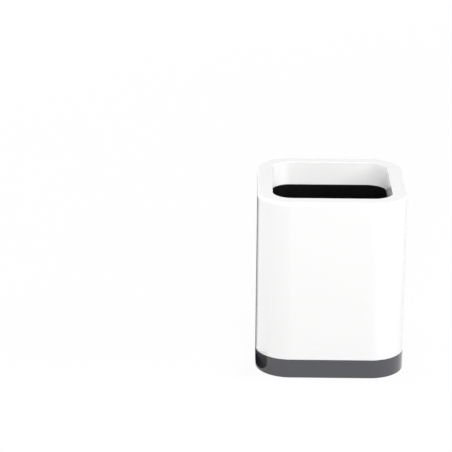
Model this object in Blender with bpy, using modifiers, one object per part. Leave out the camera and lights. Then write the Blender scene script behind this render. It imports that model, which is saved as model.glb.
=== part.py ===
"""Desk pen holder: a square, slightly tapering cup with round corners and a wide flat rim.

Three mouldings snap together. The sleeve is the outer wall, the rim and a short skirt that
turns down into the mouth. The liner is the cup that the pens stand in, and its lip sits behind
the skirt. The base carries the liner on ribs and holds the sleeve with four snap tongues.
Four rubber feet sit in recesses under the base.

Metres, +Z up. The origin is on the table at the middle of the holder, and the front faces -Y.
An inset is a distance inwards from the side of the base, the same all round the outline.
"""

import math

import bmesh
import bpy

MM = 0.001

# Outside of the holder
WIDTH = 85.0 * MM
HEIGHT = 105.5 * MM
CORNER_RADIUS = 20.0 * MM
SIDE_LEAN = 0.2 * MM
BAND_HEIGHT = 10.9 * MM
EDGE_BREAK = 0.25 * MM
FIT_GAP = 0.3 * MM

# Sleeve
SLEEVE_WALL = 2.0 * MM
RIM_WIDTH = 8.75 * MM
RIM_THICKNESS = 2.0 * MM
RIM_OUTER_ROUND = 2.2 * MM
RIM_INNER_ROUND = 1.2 * MM
SKIRT_DEPTH = 14.0 * MM
SKIRT_THICKNESS = 1.8 * MM
SKIRT_LEAN = 0.12 * MM
TONGUE_THICKNESS = 0.9 * MM
TONGUE_HEIGHT = 4.0 * MM
CAVITY_ROUND = 0.8 * MM

# Webs under the rim, in pairs on each side
WEB_THICKNESS = 1.2 * MM
WEB_SPACING = 30.0 * MM
WEB_CLEARANCE = 1.7 * MM
WEB_SLOPE = 5.0 * MM

# Liner
LINER_WALL = 2.0 * MM
LINER_FLOOR = 2.0 * MM
LINER_TAPER = 0.9 * MM
LIP_THICKNESS = 0.8 * MM
FLOOR_FILLET = 4.0 * MM

# Base
BASE_FLOOR = 2.2 * MM
BASE_LEAN = 0.3 * MM
BASE_FILLET = 1.5 * MM
BASE_EDGE_ROUND = 0.8 * MM
SPIGOT_THICKNESS = 1.6 * MM
SPIGOT_HEIGHT = 7.7 * MM
LEAD_IN = 0.5 * MM

# Ribs on the base's floor, which carry the liner and centre it
RIB_THICKNESS = 1.5 * MM
RIB_SPACING = 32.0 * MM
RIB_HEIGHT = 2.3 * MM
LOCATOR_RISE = 4.4 * MM

# Snap tongue in the middle of each side
SNAP_WIDTH = 10.0 * MM
SNAP_SLOT = 1.2 * MM
SNAP_ROOT = 1.0 * MM
NIB_REACH = 0.7 * MM
NIB_HEIGHT = 2.2 * MM
NIB_LAND = 0.5 * MM
NIB_RISE = 4.0 * MM
NIB_SIDE_MARGIN = 1.0 * MM

# Feet
FOOT_RADIUS = 5.0 * MM
FOOT_STANDOFF = 0.6 * MM
FOOT_RECESS = 1.2 * MM
FOOT_INSET = 14.5 * MM
FOOT_ROUND = 0.3 * MM
BOSS_WALL = 1.7 * MM

# How finely round shapes are divided, how far a cutter runs past what it cuts, and the
# distance under which two corners are one
CORNER_STEPS = 12
ROUND_STEPS = 5
FILLET_STEPS = 3
FOOT_STEPS = 32
OVERRUN = 1.0 * MM
WELD = 0.001 * MM

# Heights above the table that follow from those sizes
BASE_BOTTOM = FOOT_STANDOFF
BASE_TOP = BASE_BOTTOM + BAND_HEIGHT
BASE_FLOOR_TOP = BASE_BOTTOM + BASE_FLOOR
BASE_FLOOR_MIDDLE = BASE_BOTTOM + BASE_FLOOR / 2
SPIGOT_TOP = BASE_TOP + SPIGOT_HEIGHT
RIB_TOP = BASE_FLOOR_TOP + RIB_HEIGHT
LOCATOR_TOP = RIB_TOP + LOCATOR_RISE
NIB_BOTTOM = BASE_TOP + NIB_RISE
NIB_TOP = NIB_BOTTOM + NIB_HEIGHT
RECESS_TOP = BASE_BOTTOM + FOOT_RECESS
BOSS_TOP = RECESS_TOP + BASE_FLOOR
SLEEVE_BOTTOM = BASE_TOP + FIT_GAP
RIM_UNDERSIDE = HEIGHT - RIM_THICKNESS
RIM_MIDDLE = HEIGHT - RIM_THICKNESS / 2
SKIRT_BOTTOM = HEIGHT - SKIRT_DEPTH
REBATE_TOP = SKIRT_BOTTOM + TONGUE_HEIGHT
LINER_BOTTOM = RIB_TOP + FIT_GAP
LINER_FLOOR_TOP = LINER_BOTTOM + LINER_FLOOR
LINER_SHOULDER = SKIRT_BOTTOM - FIT_GAP
LIP_TOP = REBATE_TOP - FIT_GAP

# Insets that follow from them
MOUTH_INSET = SIDE_LEAN + RIM_WIDTH
SKIRT_FOOT_INSET = MOUTH_INSET + SKIRT_LEAN
SKIRT_BACK_INSET = SKIRT_FOOT_INSET - SKIRT_THICKNESS
SKIRT_MIDDLE_INSET = SKIRT_FOOT_INSET - SKIRT_THICKNESS / 2
TONGUE_BACK_INSET = SKIRT_FOOT_INSET - TONGUE_THICKNESS
LIP_FRONT_INSET = TONGUE_BACK_INSET - FIT_GAP
LIP_BACK_INSET = LIP_FRONT_INSET - LIP_THICKNESS
LINER_FOOT_INSET = SKIRT_FOOT_INSET + LINER_TAPER
LINER_FOOT_BACK_INSET = LINER_FOOT_INSET - LINER_WALL
SPIGOT_INSET = SLEEVE_WALL + FIT_GAP
SPIGOT_BACK_INSET = SPIGOT_INSET + SPIGOT_THICKNESS
SPIGOT_MIDDLE_INSET = SPIGOT_INSET + SPIGOT_THICKNESS / 2
BASE_FOOT_INSET = SPIGOT_BACK_INSET + BASE_LEAN
LOCATOR_INSET = LINER_FOOT_BACK_INSET - FIT_GAP

SIDES = ("front", "right", "back", "left")
QUARTER_TURN = math.pi / 2


def lean(height):
    """Inset of the sleeve's outer face at a height: nothing at the base, all of it at the rim."""
    return SIDE_LEAN * (height - BASE_TOP) / (HEIGHT - BASE_TOP)


def arc(inset, height, radius, start, end, steps):
    """Points on an arc about (inset, height), from one angle to another in degrees."""
    points = []
    for step in range(steps + 1):
        angle = math.radians(start + (end - start) * step / steps)
        points.append((inset + radius * math.cos(angle), height + radius * math.sin(angle)))
    return points


def outline_points():
    """The base's outline, anticlockwise: a square whose corners are quarter circles."""
    reach = WIDTH / 2 - CORNER_RADIUS
    points = []
    for quarter, (side_x, side_y) in enumerate(((1, 1), (-1, 1), (-1, -1), (1, -1))):
        turn = 90 * quarter
        points += arc(side_x * reach, side_y * reach, CORNER_RADIUS, turn, turn + 90, CORNER_STEPS)
    return points


def clear_scene():
    """Remove what the scene holds before anything is modelled."""
    for old in list(bpy.data.objects):
        bpy.data.objects.remove(old, do_unlink=True)


def new_collection(name, parent):
    """Make a collection inside another one."""
    collection = bpy.data.collections.new(name)
    parent.children.link(collection)
    return collection


def new_object(name, data, collection):
    """Make an object in a collection."""
    made = bpy.data.objects.new(name, data)
    collection.objects.link(made)
    return made


def new_material(name, colour, roughness, coat):
    """A Principled material: base colour in linear values, roughness and clear gloss."""
    material = bpy.data.materials.new(name)
    material.use_nodes = True
    shader = material.node_tree.nodes["Principled BSDF"]
    shader.inputs["Base Color"].default_value = (*colour, 1)
    shader.inputs["Roughness"].default_value = roughness
    shader.inputs["Metallic"].default_value = 0
    shader.inputs["Coat Weight"].default_value = coat
    material.diffuse_color = (*colour, 1)
    return material


def poly_curve(name, points, cyclic):
    """A flat curve of straight lines through the points."""
    data = bpy.data.curves.new(name, 'CURVE')
    data.dimensions = '2D'
    spline = data.splines.new('POLY')
    spline.points.add(len(points) - 1)
    for point, (x, y) in zip(spline.points, points):
        point.co = (x, y, 0, 1)
    spline.use_cyclic_u = cyclic
    return new_object(name, data, bpy.context.scene.collection)


def mesh_from_curve(curve, close_ends):
    """Turn a curve into a closed mesh with its faces outward, and remove the curve."""
    bpy.context.view_layer.update()
    evaluated = curve.evaluated_get(bpy.context.evaluated_depsgraph_get())
    mesh = bpy.data.meshes.new_from_object(evaluated)
    mesh.name = curve.name
    bpy.data.objects.remove(curve)
    work = bmesh.new()
    work.from_mesh(mesh)
    bmesh.ops.remove_doubles(work, verts=work.verts, dist=WELD)
    if close_ends:
        bmesh.ops.holes_fill(work, edges=work.edges)
    bmesh.ops.recalc_face_normals(work, faces=work.faces)
    work.to_mesh(mesh)
    work.free()
    return mesh


def sweep(name, section, closed):
    """Sweep a section of (inset, height) points round the outline, outer side first, going up."""
    profile = poly_curve(name + "_section", section, closed)
    path = poly_curve(name, outline_points(), True)
    path.data.bevel_mode = 'OBJECT'
    path.data.bevel_object = profile
    mesh = mesh_from_curve(path, close_ends=not closed)
    bpy.data.objects.remove(profile)
    mesh.shade_smooth()
    mesh.set_sharp_from_angle(angle=math.radians(30))
    return mesh


def plate(name, outline, thickness):
    """A flat outline given a thickness, half of it to each side."""
    curve = poly_curve(name, outline, True)
    curve.data.fill_mode = 'BOTH'
    curve.data.extrude = thickness / 2
    return mesh_from_curve(curve, close_ends=False)


def block(name, length, insets, heights):
    """A box: length along the side, then from one inset to another and one height to another."""
    mesh = bpy.data.meshes.new(name)
    work = bmesh.new()
    bmesh.ops.create_cube(work, size=1)
    bmesh.ops.scale(work, vec=(length, insets[1] - insets[0], heights[1] - heights[0]), verts=work.verts)
    middle = (0, (insets[0] + insets[1]) / 2, (heights[0] + heights[1]) / 2)
    bmesh.ops.translate(work, vec=middle, verts=work.verts)
    work.to_mesh(mesh)
    work.free()
    return mesh


def cylinder(name, radius, heights):
    """An upright cylinder from one height to another."""
    mesh = bpy.data.meshes.new(name)
    work = bmesh.new()
    bmesh.ops.create_cone(work, cap_ends=True, segments=FOOT_STEPS, radius1=radius, radius2=radius,
                          depth=heights[1] - heights[0])
    bmesh.ops.translate(work, vec=(0, 0, (heights[0] + heights[1]) / 2), verts=work.verts)
    work.to_mesh(mesh)
    work.free()
    return mesh


def side_frames(collection):
    """One empty per side, turned so that its +Y points inwards from that side."""
    frames = []
    for number, side in enumerate(SIDES):
        frame = new_object("side_" + side, None, collection)
        frame.rotation_euler.z = number * QUARTER_TURN
        frames.append(frame)
    return frames


def helper(name, mesh, collection, frame, along, upright):
    """A shape that is cut from a piece or joined to it, set in the middle of a side.

    A plate's outline is in insets and heights, so it is turned upright across the side.
    """
    made = new_object(name, mesh, collection)
    made.parent = frame
    made.location = (along, -WIDTH / 2, 0)
    if upright:
        made.rotation_euler = (QUARTER_TURN, 0, QUARTER_TURN)
    made.hide_render = True
    made.display_type = 'WIRE'
    return made


def combine(piece, operation, collection):
    """Join the shapes of a collection to a piece, or cut them from it."""
    boolean = piece.modifiers.new(collection.name, 'BOOLEAN')
    boolean.operation = operation
    boolean.solver = 'EXACT'
    boolean.operand_type = 'COLLECTION'
    boolean.collection = collection


def pair_places(spacing):
    """Where the two of a pair lie along a side."""
    return (-spacing / 2, spacing / 2)


def foot_places():
    """The name and place of each foot."""
    reach = WIDTH / 2 - FOOT_INSET
    corners = {"front_left": (-1, -1), "front_right": (1, -1), "back_right": (1, 1), "back_left": (-1, 1)}
    return {name: (x * reach, y * reach) for name, (x, y) in corners.items()}


def sleeve_section():
    """The outer wall, the rim and the skirt with the tongue at its lower edge."""
    section = [(EDGE_BREAK, SLEEVE_BOTTOM), (0, SLEEVE_BOTTOM + EDGE_BREAK)]
    section += arc(SIDE_LEAN + RIM_OUTER_ROUND, HEIGHT - RIM_OUTER_ROUND, RIM_OUTER_ROUND,
                   180, 90, ROUND_STEPS)
    section += arc(MOUTH_INSET - RIM_INNER_ROUND, HEIGHT - RIM_INNER_ROUND, RIM_INNER_ROUND,
                   90, 0, FILLET_STEPS)
    section += [(SKIRT_FOOT_INSET, SKIRT_BOTTOM), (TONGUE_BACK_INSET, SKIRT_BOTTOM)]
    section += [(TONGUE_BACK_INSET, REBATE_TOP), (SKIRT_BACK_INSET, REBATE_TOP)]
    ceiling = RIM_UNDERSIDE - CAVITY_ROUND
    section += arc(SKIRT_BACK_INSET - SKIRT_LEAN - CAVITY_ROUND, ceiling, CAVITY_ROUND,
                   0, 90, FILLET_STEPS)
    section += arc(lean(ceiling) + SLEEVE_WALL + CAVITY_ROUND, ceiling, CAVITY_ROUND,
                   90, 180, FILLET_STEPS)
    section += [(SLEEVE_WALL, SLEEVE_BOTTOM + EDGE_BREAK), (SLEEVE_WALL - EDGE_BREAK, SLEEVE_BOTTOM)]
    return section


def web_outline():
    """A web under the rim: deep at the outer wall and clear of the liner's lip at the skirt."""
    wall_inset = SIDE_LEAN + SLEEVE_WALL / 2
    skirt_end = REBATE_TOP + WEB_CLEARANCE
    return [(wall_inset, RIM_MIDDLE), (wall_inset, skirt_end - WEB_SLOPE),
            (SKIRT_MIDDLE_INSET, skirt_end), (SKIRT_MIDDLE_INSET, RIM_MIDDLE)]


def make_sleeve(parts, helpers, frames):
    """The white outer moulding, with webs under its rim and a pocket for each snap nib."""
    sleeve = new_object("sleeve", sweep("sleeve", sleeve_section(), True), parts)
    webs = new_collection("sleeve_webs", helpers)
    pockets = new_collection("sleeve_pockets", helpers)
    web_mesh = plate("web", web_outline(), WEB_THICKNESS)
    pocket_inset = lean(NIB_BOTTOM) + SPIGOT_INSET - NIB_REACH - FIT_GAP
    pocket_mesh = block("pocket", SNAP_WIDTH + 2 * FIT_GAP, (pocket_inset, SLEEVE_WALL + OVERRUN),
                        (NIB_BOTTOM - FIT_GAP, NIB_TOP + FIT_GAP))
    for side, frame in zip(SIDES, frames):
        for number, along in enumerate(pair_places(WEB_SPACING)):
            helper(f"web_{side}_{number + 1}", web_mesh, webs, frame, along, True)
        helper("pocket_" + side, pocket_mesh, pockets, frame, 0, False)
    combine(sleeve, 'UNION', webs)
    combine(sleeve, 'DIFFERENCE', pockets)
    sleeve.data.materials.append(new_material("white_gloss_plastic", (0.9, 0.9, 0.895), 0.06, 1))


def liner_section():
    """The cup's wall, from the underside round the outside and the lip to the floor."""
    outer_fillet = FLOOR_FILLET + LINER_WALL
    section = arc(LINER_FOOT_BACK_INSET + outer_fillet, LINER_BOTTOM + outer_fillet, outer_fillet,
                  270, 180, ROUND_STEPS)
    section += [(LIP_BACK_INSET, LIP_TOP - EDGE_BREAK), (LIP_BACK_INSET + EDGE_BREAK, LIP_TOP)]
    section += [(LIP_FRONT_INSET, LIP_TOP), (LIP_FRONT_INSET, LINER_SHOULDER)]
    section += [(SKIRT_FOOT_INSET, LINER_SHOULDER)]
    section += arc(LINER_FOOT_INSET + FLOOR_FILLET, LINER_FLOOR_TOP + FLOOR_FILLET, FLOOR_FILLET,
                   180, 270, ROUND_STEPS)
    return section


def make_liner(parts):
    """The black inner cup that the pens stand in."""
    liner = new_object("liner", sweep("liner", liner_section(), False), parts)
    liner.data.materials.append(new_material("black_gloss_plastic", (0.004, 0.004, 0.004), 0.15, 0))


def base_section():
    """The visible band, the ledge that the sleeve meets, the spigot and the floor."""
    section = arc(BASE_EDGE_ROUND, BASE_BOTTOM + BASE_EDGE_ROUND, BASE_EDGE_ROUND,
                  270, 180, FILLET_STEPS)
    section += [(0, BASE_TOP - EDGE_BREAK), (EDGE_BREAK, BASE_TOP), (SPIGOT_INSET, BASE_TOP)]
    chamfer = SPIGOT_TOP - LEAD_IN
    section += [(SPIGOT_INSET + lean(chamfer), chamfer), (SPIGOT_INSET + LEAD_IN, SPIGOT_TOP)]
    section += [(SPIGOT_BACK_INSET, SPIGOT_TOP)]
    section += arc(BASE_FOOT_INSET + BASE_FILLET, BASE_FLOOR_TOP + BASE_FILLET, BASE_FILLET,
                   180, 270, FILLET_STEPS)
    return section


def rib_outline():
    """A rib from wall to wall: low under the liner, and raised at both ends to centre it."""
    wall_end = WIDTH - SPIGOT_MIDDLE_INSET
    locator_end = WIDTH - LOCATOR_INSET
    return [(SPIGOT_MIDDLE_INSET, BASE_FLOOR_MIDDLE), (wall_end, BASE_FLOOR_MIDDLE),
            (wall_end, LOCATOR_TOP), (locator_end, LOCATOR_TOP), (locator_end, RIB_TOP),
            (LOCATOR_INSET, RIB_TOP), (LOCATOR_INSET, LOCATOR_TOP), (SPIGOT_MIDDLE_INSET, LOCATOR_TOP)]


def nib_outline():
    """A snap nib on the spigot: flat below to hold the sleeve down, sloping above to let it on."""
    face = SPIGOT_INSET + lean(NIB_BOTTOM)
    tip = face - NIB_REACH
    root = face + SPIGOT_THICKNESS / 2
    return [(tip, NIB_BOTTOM), (tip, NIB_BOTTOM + NIB_LAND), (face, NIB_TOP),
            (root, NIB_TOP), (root, NIB_BOTTOM)]


def make_base(parts, helpers, frames):
    """The dark base: a tray with ribs, foot recesses and a spigot with four snap tongues."""
    base = new_object("base", sweep("base", base_section(), False), parts)
    added = new_collection("base_ribs_nibs_and_bosses", helpers)
    crossing = new_collection("base_crossing_ribs", helpers)
    cut = new_collection("base_slots_and_recesses", helpers)
    rib_mesh = plate("rib", rib_outline(), RIB_THICKNESS)
    nib_mesh = plate("nib", nib_outline(), SNAP_WIDTH - 2 * NIB_SIDE_MARGIN)
    slot_mesh = block("slot", SNAP_SLOT, (SPIGOT_INSET - OVERRUN, SPIGOT_BACK_INSET + OVERRUN),
                      (BASE_TOP + SNAP_ROOT, SPIGOT_TOP + OVERRUN))
    for number, along in enumerate(pair_places(RIB_SPACING)):
        helper(f"rib_{number + 1}", rib_mesh, added, frames[0], along, True)
        helper(f"crossing_rib_{number + 1}", rib_mesh, crossing, frames[1], along, True)
    for side, frame in zip(SIDES, frames):
        helper("nib_" + side, nib_mesh, added, frame, 0, True)
        for number, along in enumerate(pair_places(SNAP_WIDTH + SNAP_SLOT)):
            helper(f"slot_{side}_{number + 1}", slot_mesh, cut, frame, along, False)
    recess_radius = FOOT_RADIUS + FIT_GAP
    boss_mesh = cylinder("boss", recess_radius + BOSS_WALL, (BASE_FLOOR_MIDDLE, BOSS_TOP))
    recess_mesh = cylinder("recess", recess_radius, (BASE_BOTTOM - OVERRUN, RECESS_TOP))
    for name, (x, y) in foot_places().items():
        for kind, mesh, collection in (("boss_", boss_mesh, added), ("recess_", recess_mesh, cut)):
            made = helper(kind + name, mesh, collection, None, 0, False)
            made.location = (x, y, 0)
    combine(base, 'UNION', added)
    combine(base, 'UNION', crossing)
    combine(base, 'DIFFERENCE', cut)
    base.data.materials.append(new_material("dark_grey_plastic", (0.056, 0.057, 0.066), 0.12, 0.6))


def foot_mesh():
    """Half the section of a foot, from the middle of its top round to the middle of its sole."""
    top = RECESS_TOP - FIT_GAP
    section = [(0, top), (FOOT_RADIUS, top)]
    section += arc(FOOT_RADIUS - FOOT_ROUND, FOOT_ROUND, FOOT_ROUND, 0, -90, FILLET_STEPS)
    section += [(0, 0)]
    mesh = bpy.data.meshes.new("foot")
    work = bmesh.new()
    corners = [work.verts.new((x, 0, z)) for x, z in section]
    for start, end in zip(corners, corners[1:]):
        work.edges.new((start, end))
    work.to_mesh(mesh)
    work.free()
    return mesh


def make_feet(parts):
    """Four turned rubber feet, pressed into the base's recesses."""
    mesh = foot_mesh()
    mesh.materials.append(new_material("black_rubber", (0.02, 0.02, 0.02), 0.8, 0))
    for name, (x, y) in foot_places().items():
        foot = new_object("foot_" + name, mesh, parts)
        foot.location = (x, y, 0)
        screw = foot.modifiers.new("turned", 'SCREW')
        screw.steps = FOOT_STEPS
        screw.render_steps = FOOT_STEPS
        screw.use_merge_vertices = True
        screw.merge_threshold = WELD
        screw.use_smooth_shade = False


def main():
    clear_scene()
    parts = new_collection("pen_holder", bpy.context.scene.collection)
    helpers = new_collection("cutters", bpy.context.scene.collection)
    frames = side_frames(helpers)
    make_sleeve(parts, helpers, frames)
    make_liner(parts)
    make_base(parts, helpers, frames)
    make_feet(parts)
    bpy.context.view_layer.update()


main()
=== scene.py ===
"""Square desk pen holder: a gloss white sleeve, a black liner, a dark grey base and four feet.

Each moulding is a section that runs round a square outline with round corners, and each corner
of a section carries the radius of its own rounding. Webs, ribs, snap tongues and feet repeat by
rule. Metres, +Z up, front towards -Y. An inset runs inwards from the side of the base.
"""

import math

import bpy
from bpy.props import FloatProperty, FloatVectorProperty, IntProperty, PointerProperty
from mathutils import Euler, Matrix, Vector


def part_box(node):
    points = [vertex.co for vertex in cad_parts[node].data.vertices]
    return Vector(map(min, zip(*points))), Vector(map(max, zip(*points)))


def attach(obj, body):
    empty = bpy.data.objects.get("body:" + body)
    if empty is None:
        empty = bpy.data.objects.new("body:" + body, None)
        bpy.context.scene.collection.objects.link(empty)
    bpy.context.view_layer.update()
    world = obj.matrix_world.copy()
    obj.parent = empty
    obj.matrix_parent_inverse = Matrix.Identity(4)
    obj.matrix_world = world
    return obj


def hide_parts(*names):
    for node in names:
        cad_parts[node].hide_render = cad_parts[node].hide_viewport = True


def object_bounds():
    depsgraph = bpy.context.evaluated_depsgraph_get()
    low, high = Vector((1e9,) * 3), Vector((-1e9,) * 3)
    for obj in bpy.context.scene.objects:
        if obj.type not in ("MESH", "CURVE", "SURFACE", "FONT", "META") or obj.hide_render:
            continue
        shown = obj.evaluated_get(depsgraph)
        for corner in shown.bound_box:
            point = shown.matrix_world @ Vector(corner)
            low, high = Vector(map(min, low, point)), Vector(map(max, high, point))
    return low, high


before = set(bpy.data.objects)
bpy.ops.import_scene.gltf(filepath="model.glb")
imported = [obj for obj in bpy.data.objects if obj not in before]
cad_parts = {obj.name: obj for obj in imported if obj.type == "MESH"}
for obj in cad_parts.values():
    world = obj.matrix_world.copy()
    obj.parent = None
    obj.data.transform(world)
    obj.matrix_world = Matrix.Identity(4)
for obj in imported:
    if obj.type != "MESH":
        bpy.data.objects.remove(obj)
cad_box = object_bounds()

bl_info = {
    "name": "Square desk pen holder",
    "version": (1, 0, 0),
    "blender": (4, 5, 0),
    "location": "View3D > Sidebar > Pen holder",
    "description": "Builds a two-wall desk pen holder from swept sections, with its studio stage",
    "category": "Add Mesh",
}

MM = 0.001
QUARTER_TURN = math.pi / 2
WHITE = (1, 1, 1, 1)

# How far a shape that cuts stands past what it cuts
OVERRUN = 1 * MM
# Share of the corner radius at which a swept floor gives way to the sheet across its middle
FLOOR_END = 0.85
# Facets of a rounding in a section: a few, and more for each metre of its radius
FEWEST_FACETS = 3
FACETS_PER_METRE = 2200
# Sides of a round recess, boss or mark
DISC_SIDES = 64
# Points nearer to each other than this become one
WELD = 0.001 * MM

# How much rougher each kind of mark makes the plastic, and how well dust hides its colour
ROUGHENING = {"film": 0.10, "lines": 0.18, "rub": 0.22, "dust": 0.5}
DUST_COVER = 0.6
PLASTIC_IOR = 1.5

# The type of socket that suits each type of default
SOCKET_TYPES = {float: 'Float', int: 'Int', bool: 'Bool', tuple: 'Color'}
# The inputs of every swept moulding
OUTLINE_INPUTS = {"Width": 0.085, "Corner Radius": 0.02, "Corner Steps": 32}
# How far apart nodes are laid out
COLUMN_WIDTH = 220
ROW_HEIGHT = 260

# Where the solids of the frame lie
SLEEVE_LOW, SLEEVE_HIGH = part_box("sleeve")
LINER_LOW, LINER_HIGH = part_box("liner")
BASE_LOW, BASE_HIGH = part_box("base")
FOOT_LOW, FOOT_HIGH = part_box("foot_front_left")
HALF_WIDTH = BASE_HIGH.x


# Properties

def length(name, description, default):
    """A size in metres that a user may change."""
    return FloatProperty(name=name, description=description, default=default, min=0,
                         precision=5, subtype='DISTANCE', unit='LENGTH')


def share(name, description, default):
    """A share from none to all."""
    return FloatProperty(name=name, description=description, default=default, min=0, max=1,
                         precision=3, subtype='FACTOR')


def level(name, description, default):
    """A plain number, such as the strength of a light."""
    return FloatProperty(name=name, description=description, default=default, min=0, precision=3)


def angle(name, description, degrees):
    """An angle that is shown in degrees."""
    return FloatProperty(name=name, description=description, default=math.radians(degrees),
                         precision=3, subtype='ANGLE', unit='ROTATION')


def count(name, description, default):
    """How many times something is divided or repeated."""
    return IntProperty(name=name, description=description, default=default, min=1)


def colour(name, description, default):
    """A colour in linear values."""
    return FloatVectorProperty(name=name, description=description, default=default, size=3,
                               min=0, max=1, subtype='COLOR')


class PenHolderOutline(bpy.types.PropertyGroup):
    """Sizes that all the mouldings share"""

    width: length("Width", "Across the base from side to side", 2 * HALF_WIDTH)
    height: length("Height", "From the table to the rim", SLEEVE_HIGH.z)
    corner_radius: length("Corner radius", "Of the outline's four corners", 20 * MM)
    side_lean: length("Side lean", "How far each side leans in between base and rim", 0.2 * MM)
    base_top: length("Base top", "Height at which the base ends and the sleeve starts",
                     SLEEVE_LOW.z - 0.3 * MM)
    seam: length("Seam", "Open line between the base and the sleeve", 0.16 * MM)
    edge_round: length("Edge round", "Rounding of the plain moulded edges", 0.2 * MM)
    corner_steps: count("Corner steps", "Facets round each corner of the outline", 32)


class PenHolderSleeve(bpy.types.PropertyGroup):
    """Sizes of the white outer moulding"""

    wall: length("Wall", "Thickness of the outer wall", 2 * MM)
    rim_width: length("Rim width", "From the outer side to the mouth", 8.75 * MM)
    rim_thickness: length("Rim thickness", "Of the flat top", 2 * MM)
    rim_outer_round: length("Rim outer round", "Where the side turns over to the top", 2.2 * MM)
    rim_inner_round: length("Rim inner round", "Where the top turns down into the mouth", 0.5 * MM)
    skirt_depth: length("Skirt depth", "How far the white reaches down into the mouth", 14 * MM)
    skirt_thickness: length("Skirt thickness", "Of the wall inside the mouth", 1.8 * MM)
    skirt_lean: length("Skirt lean", "How much narrower the skirt is at its foot", 0.12 * MM)
    tongue_thickness: length("Tongue thickness", "Of the skirt's foot, which hides the lip", 0.9 * MM)
    tongue_height: length("Tongue height", "Of the step behind the skirt's foot", 4 * MM)
    cavity_round: length("Cavity round", "Of the hollow under the rim", 0.8 * MM)
    web_thickness: length("Web thickness", "Of the stiffening webs under the rim", 1.2 * MM)
    web_spacing: length("Web spacing", "Between the two webs of a side", 30 * MM)
    web_clearance: length("Web clearance", "From the step to a web's inner end", 1.7 * MM)
    web_slope: length("Web slope", "How much deeper a web is at the outer wall", 5 * MM)


class PenHolderLiner(bpy.types.PropertyGroup):
    """Sizes of the black inner cup"""

    wall: length("Wall", "Thickness at the foot of the wall", 2 * MM)
    floor: length("Floor", "Thickness of the cup's floor", 2 * MM)
    bottom: length("Bottom", "Height of its underside over the table", LINER_LOW.z)
    lip_top: length("Lip top", "Height of the lip behind the skirt", LINER_HIGH.z)
    lip_inset: length("Lip inset", "From the side of the base to the back of the lip",
                      HALF_WIDTH - LINER_HIGH.x)
    lip_thickness: length("Lip thickness", "Of the lip behind the skirt", 0.8 * MM)
    taper: length("Taper", "How much narrower the cup is at its floor", 0.9 * MM)
    floor_round: length("Floor round", "Where the wall turns into the floor", 4 * MM)
    shoulder_gap: length("Shoulder gap", "Between the skirt's foot and the liner", 0.15 * MM)
    gate_radius: length("Gate radius", "Of the round mark in the middle of the cup's floor", 2 * MM)
    gate_depth: length("Gate depth", "Of that mark", 0.15 * MM)


class PenHolderBase(bpy.types.PropertyGroup):
    """Sizes of the dark grey foot of the holder"""

    bottom: length("Bottom", "Height of its underside over the table", BASE_LOW.z)
    floor: length("Floor", "Thickness of its floor", 2.2 * MM)
    lean: length("Lean", "How far the inside narrows to the floor", 0.3 * MM)
    floor_round: length("Floor round", "Where the inside turns into the floor", 1.5 * MM)
    foot_round: length("Foot round", "Of the lower outer edge", 0.4 * MM)
    spigot_top: length("Spigot top", "Height of the wall inside the sleeve", BASE_HIGH.z)
    spigot_gap: length("Spigot gap", "Between the spigot and the sleeve", 0.3 * MM)
    spigot_thickness: length("Spigot thickness", "Of the wall inside the sleeve", 1.6 * MM)
    lead_in: length("Lead-in", "Rounding of the spigot's outer top edge", 0.5 * MM)
    rib_thickness: length("Rib thickness", "Of the ribs that carry the liner", 1.5 * MM)
    rib_spacing: length("Rib spacing", "Between the two ribs of a pair", 32 * MM)
    locator_rise: length("Locator rise", "Of a rib's ends over its middle", 4.4 * MM)
    snap_width: length("Snap width", "Of the tongue in the middle of a side", 10 * MM)
    snap_slot: length("Snap slot", "At each side of a tongue", 1.2 * MM)
    snap_root: length("Snap root", "From the base's top to the foot of a slot", 1 * MM)
    nib_reach: length("Nib reach", "How far a nib stands out of its tongue", 0.7 * MM)
    nib_height: length("Nib height", "Of a nib", 2.2 * MM)
    nib_land: length("Nib land", "Height of a nib's straight tip", 0.5 * MM)
    nib_rise: length("Nib rise", "From the base's top to a nib", 4 * MM)
    nib_margin: length("Nib margin", "From a nib to the side of its tongue", 1 * MM)
    boss_wall: length("Boss wall", "Round and over the recess of a foot", 1.7 * MM)
    pin_radius: length("Pin radius", "Of the round marks of the ejector pins", 2 * MM)
    pin_depth: length("Pin depth", "Of those marks", 0.1 * MM)
    pin_spacing: length("Pin spacing", "Between the marks of the ejector pins", 26 * MM)


class PenHolderFeet(bpy.types.PropertyGroup):
    """Sizes of the four rubber feet"""

    radius: length("Radius", "Of a foot", (FOOT_HIGH.x - FOOT_LOW.x) / 2)
    top: length("Top", "Height of a foot over the table", FOOT_HIGH.z)
    edge_round: length("Edge round", "Of the sole's edge", 0.3 * MM)
    spacing: length("Spacing", "Between the middles of two feet", -(FOOT_HIGH.x + FOOT_LOW.x))
    recess_gap: length("Recess gap", "Round and over a foot in its recess", 0.3 * MM)
    dish_radius: length("Dish radius", "Of the hollow in the middle of a sole", 2.6 * MM)
    dish_depth: length("Dish depth", "Of that hollow", 0.15 * MM)
    dish_round: length("Dish round", "Of the edge of that hollow", 0.1 * MM)
    corner_steps: count("Corner steps", "Facets round each quarter of a foot", 16)


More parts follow.
